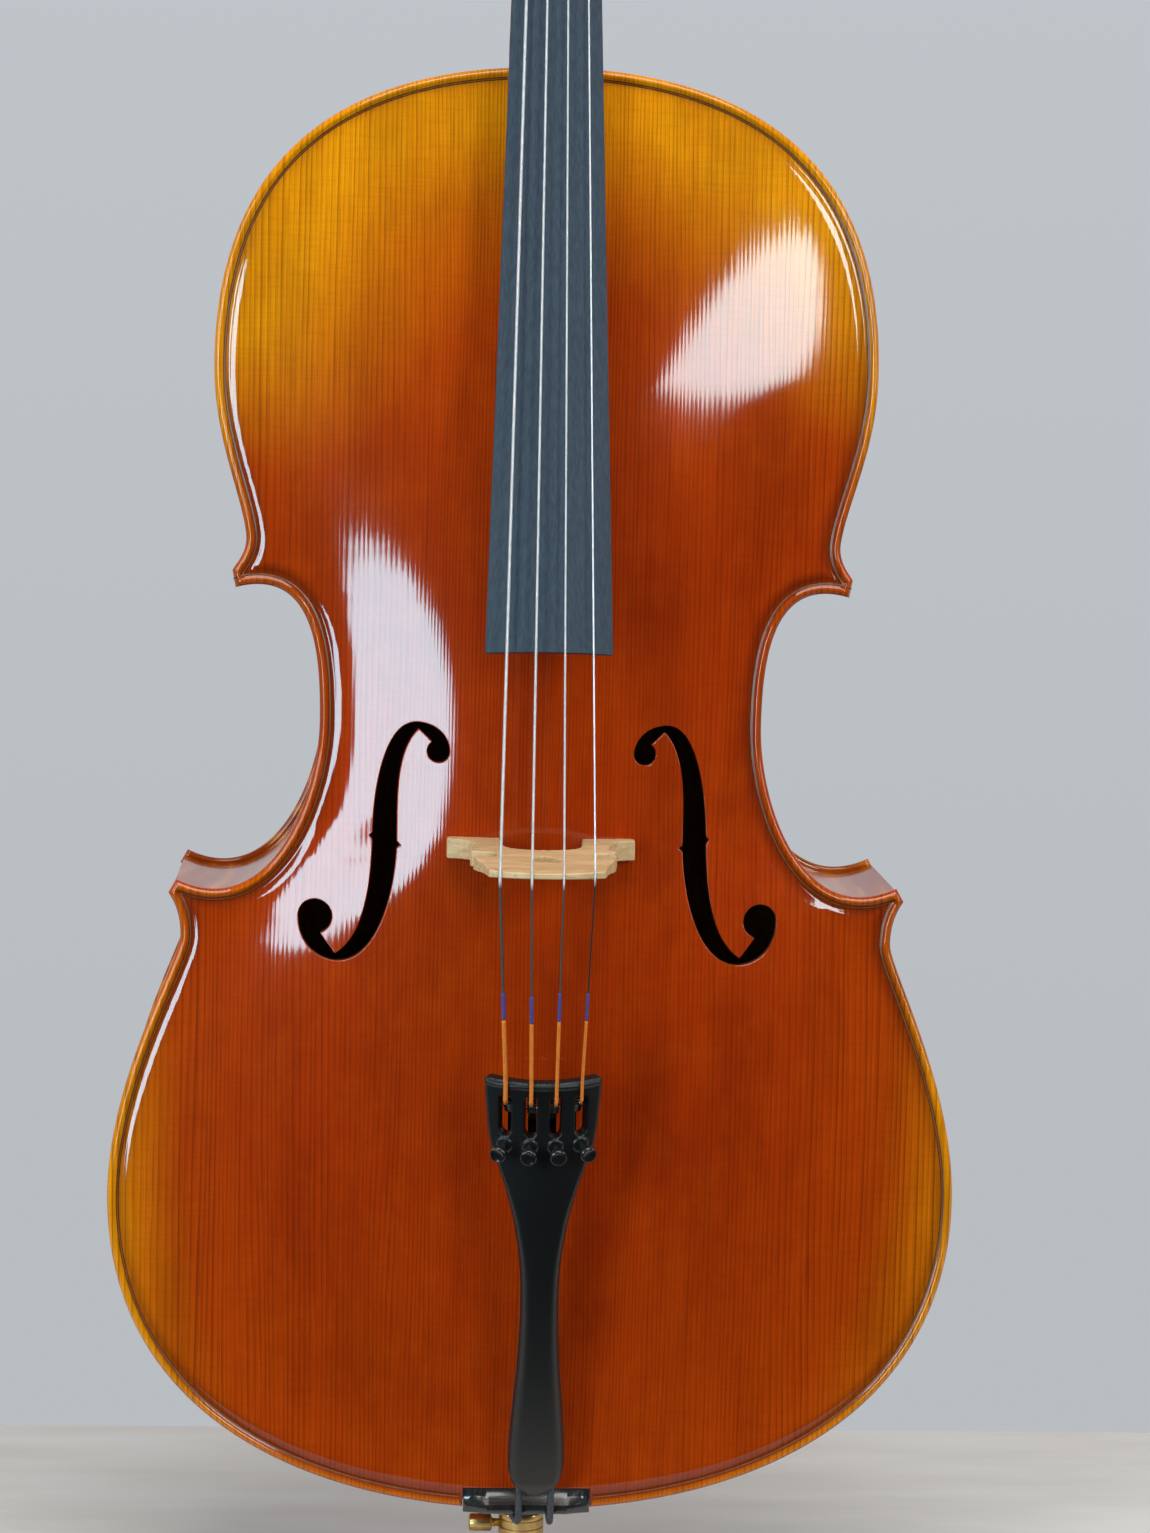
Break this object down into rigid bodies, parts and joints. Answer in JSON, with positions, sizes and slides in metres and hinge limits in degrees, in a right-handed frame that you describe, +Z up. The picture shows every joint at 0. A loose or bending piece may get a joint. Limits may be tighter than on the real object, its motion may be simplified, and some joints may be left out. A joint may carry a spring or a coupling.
{
  "type": "cello",
  "caption": "Full-size cello with carved arched plates, sound holes, bridge, tailpiece with fine tuners, tuning pegs and a sliding endpin",
  "frame": {"origin": "centre of the flat end of the endpin's foot, with the endpin pushed in", "axes": "+Z up the instrument, +Y from the front plate to the back plate, +X to the treble side"},
  "size_m": [0.446, 0.2679, 1.3061],
  "materials": {
    "varnished_spruce": "glossy orange-brown varnish on straight-grained spruce",
    "varnished_maple": "glossy orange-brown varnish on flamed maple",
    "raw_wood": "bare planed wood",
    "bridge_maple": "bare maple, finely sanded",
    "ebony": "polished ebony, satin",
    "black_resin": "satin black",
    "black_metal": "glossy black",
    "string_steel": "wound steel",
    "rod_steel": "polished steel",
    "brass": "turned brass, lightly worn",
    "cord": "tight black cord",
    "rubber": "matt black rubber"
  },
  "bodies": {
    "instrument": {"neck_and_scroll": "varnished_maple", "fingerboard": "ebony", "nut": "ebony", "tailpiece": "black_resin", "front_plate": "varnished_spruce", "back_plate": "varnished_maple", "lower_rib_treble": "varnished_maple", "middle_rib_treble": "varnished_maple", "upper_rib_treble": "varnished_maple", "lower_lining_front_treble": "raw_wood", "lower_lining_back_treble": "raw_wood", "middle_lining_front_treble": "raw_wood", "middle_lining_back_treble": "raw_wood", "upper_lining_front_treble": "raw_wood", "upper_lining_back_treble": "raw_wood", "lower_corner_block_treble": "raw_wood", "upper_corner_block_treble": "raw_wood", "lower_rib_bass": "varnished_maple", "middle_rib_bass": "varnished_maple", "upper_rib_bass": "varnished_maple", "lower_lining_front_bass": "raw_wood", "lower_lining_back_bass": "raw_wood", "middle_lining_front_bass": "raw_wood", "middle_lining_back_bass": "raw_wood", "upper_lining_front_bass": "raw_wood", "upper_lining_back_bass": "raw_wood", "lower_corner_block_bass": "raw_wood", "upper_corner_block_bass": "raw_wood", "neck_block": "raw_wood", "end_block": "raw_wood", "bass_bar": "raw_wood", "sound_post": "raw_wood", "saddle": "ebony", "bridge": "bridge_maple", "tail_cord": "cord", "string_c": "string_steel", "string_g": "string_steel", "string_d": "string_steel", "string_a": "string_steel", "endpin_plug": "ebony", "endpin_collar": "brass"},
    "peg_c": {"peg_c": "ebony"},
    "peg_g": {"peg_g": "ebony"},
    "peg_d": {"peg_d": "ebony"},
    "peg_a": {"peg_a": "ebony"},
    "tuner_screw_c": {"tuner_screw_c": "black_metal"},
    "tuner_knob_c": {"tuner_knob_c": "black_metal"},
    "tuner_lever_c": {"tuner_lever_c": "black_metal"},
    "tuner_screw_g": {"tuner_screw_g": "black_metal"},
    "tuner_knob_g": {"tuner_knob_g": "black_metal"},
    "tuner_lever_g": {"tuner_lever_g": "black_metal"},
    "tuner_screw_d": {"tuner_screw_d": "black_metal"},
    "tuner_knob_d": {"tuner_knob_d": "black_metal"},
    "tuner_lever_d": {"tuner_lever_d": "black_metal"},
    "tuner_screw_a": {"tuner_screw_a": "black_metal"},
    "tuner_knob_a": {"tuner_knob_a": "black_metal"},
    "tuner_lever_a": {"tuner_lever_a": "black_metal"},
    "endpin": {"endpin_rod": "rod_steel", "endpin_foot": "rubber"},
    "endpin_clamp_screw": {"endpin_clamp_screw": "brass"}
  },
  "joints": [
    {"name": "peg_c_turn", "type": "hinge", "parent": "instrument", "child": "peg_c", "pos_m": [0, -0.00823, 1.14148], "axis": [1, 0, 0], "continuous": true},
    {"name": "peg_g_turn", "type": "hinge", "parent": "instrument", "child": "peg_g", "pos_m": [0, 0.01316, 1.19254], "axis": [1, 0, 0], "continuous": true},
    {"name": "peg_d_turn", "type": "hinge", "parent": "instrument", "child": "peg_d", "pos_m": [0, 0.02016, 1.21059], "axis": [1, 0, 0], "continuous": true},
    {"name": "peg_a_turn", "type": "hinge", "parent": "instrument", "child": "peg_a", "pos_m": [0, -0.0009, 1.15846], "axis": [1, 0, 0], "continuous": true},
    {"name": "tuner_screw_c_slide", "type": "slide", "parent": "instrument", "child": "tuner_screw_c", "axis": [0.3113, 0.9088, 0.2778], "range_m": [-0.0028, 0.0028]},
    {"name": "tuner_knob_c_turn", "type": "hinge", "parent": "tuner_screw_c", "child": "tuner_knob_c", "pos_m": [-0.01749, -0.13508, 0.28729], "axis": [0.3113, 0.9088, 0.2778], "range_deg": [-1442, 1442]},
    {"name": "tuner_lever_c_pivot", "type": "hinge", "parent": "instrument", "child": "tuner_lever_c", "pos_m": [-0.01531, -0.13338, 0.30663], "axis": [0.9503, -0.3009, -0.0804], "range_deg": [-9, 9]},
    {"name": "tuner_screw_g_slide", "type": "slide", "parent": "instrument", "child": "tuner_screw_g", "axis": [0.1032, 0.9519, 0.2885], "range_m": [-0.0028, 0.0028]},
    {"name": "tuner_knob_g_turn", "type": "hinge", "parent": "tuner_screw_g", "child": "tuner_knob_g", "pos_m": [-0.00459, -0.13775, 0.28662], "axis": [0.1032, 0.9519, 0.2885], "range_deg": [-1442, 1442]},
    {"name": "tuner_lever_g_pivot", "type": "hinge", "parent": "instrument", "child": "tuner_lever_g", "pos_m": [-0.00399, -0.13572, 0.30605], "axis": [0.9946, -0.1018, -0.0199], "range_deg": [-9, 9]},
    {"name": "tuner_screw_d_slide", "type": "slide", "parent": "instrument", "child": "tuner_screw_d", "axis": [-0.1032, 0.9525, 0.2865], "range_m": [-0.0028, 0.0028]},
    {"name": "tuner_knob_d_turn", "type": "hinge", "parent": "tuner_screw_d", "child": "tuner_knob_d", "pos_m": [0.00821, -0.13779, 0.28675], "axis": [-0.1032, 0.9525, 0.2865], "range_deg": [-1442, 1442]},
    {"name": "tuner_lever_d_pivot", "type": "hinge", "parent": "instrument", "child": "tuner_lever_d", "pos_m": [0.00724, -0.13575, 0.30616], "axis": [0.9946, 0.0958, 0.0398], "range_deg": [-9, 9]},
    {"name": "tuner_screw_a_slide", "type": "slide", "parent": "instrument", "child": "tuner_screw_a", "axis": [-0.3113, 0.9107, 0.2716], "range_m": [-0.0028, 0.0028]},
    {"name": "tuner_knob_a_turn", "type": "hinge", "parent": "tuner_screw_a", "child": "tuner_knob_a", "pos_m": [0.02111, -0.1352, 0.28768], "axis": [-0.3113, 0.9107, 0.2716], "range_deg": [-1442, 1442]},
    {"name": "tuner_lever_a_pivot", "type": "hinge", "parent": "instrument", "child": "tuner_lever_a", "pos_m": [0.01856, -0.13348, 0.30697], "axis": [0.9503, 0.2951, 0.0995], "range_deg": [-9, 9]},
    {"name": "endpin_slide", "type": "slide", "parent": "instrument", "child": "endpin", "axis": [0, 0, -1], "range_m": [0, 0.38]},
    {"name": "endpin_clamp_screw_turn", "type": "hinge", "parent": "instrument", "child": "endpin_clamp_screw", "pos_m": [0, 0, 0.049], "axis": [-1, 0, 0], "range_deg": [0, 720]}
  ],
  "couplings": [
    {"joint": "tuner_knob_c_turn", "follows": "tuner_screw_c_slide", "rad_per_m": 8976},
    {"joint": "tuner_lever_c_pivot", "follows": "tuner_screw_c_slide", "rad_per_m": 55.556},
    {"joint": "tuner_knob_g_turn", "follows": "tuner_screw_g_slide", "rad_per_m": 8976},
    {"joint": "tuner_lever_g_pivot", "follows": "tuner_screw_g_slide", "rad_per_m": 55.556},
    {"joint": "tuner_knob_d_turn", "follows": "tuner_screw_d_slide", "rad_per_m": 8976},
    {"joint": "tuner_lever_d_pivot", "follows": "tuner_screw_d_slide", "rad_per_m": 55.556},
    {"joint": "tuner_knob_a_turn", "follows": "tuner_screw_a_slide", "rad_per_m": 8976},
    {"joint": "tuner_lever_a_pivot", "follows": "tuner_screw_a_slide", "rad_per_m": 55.556}
  ]
}
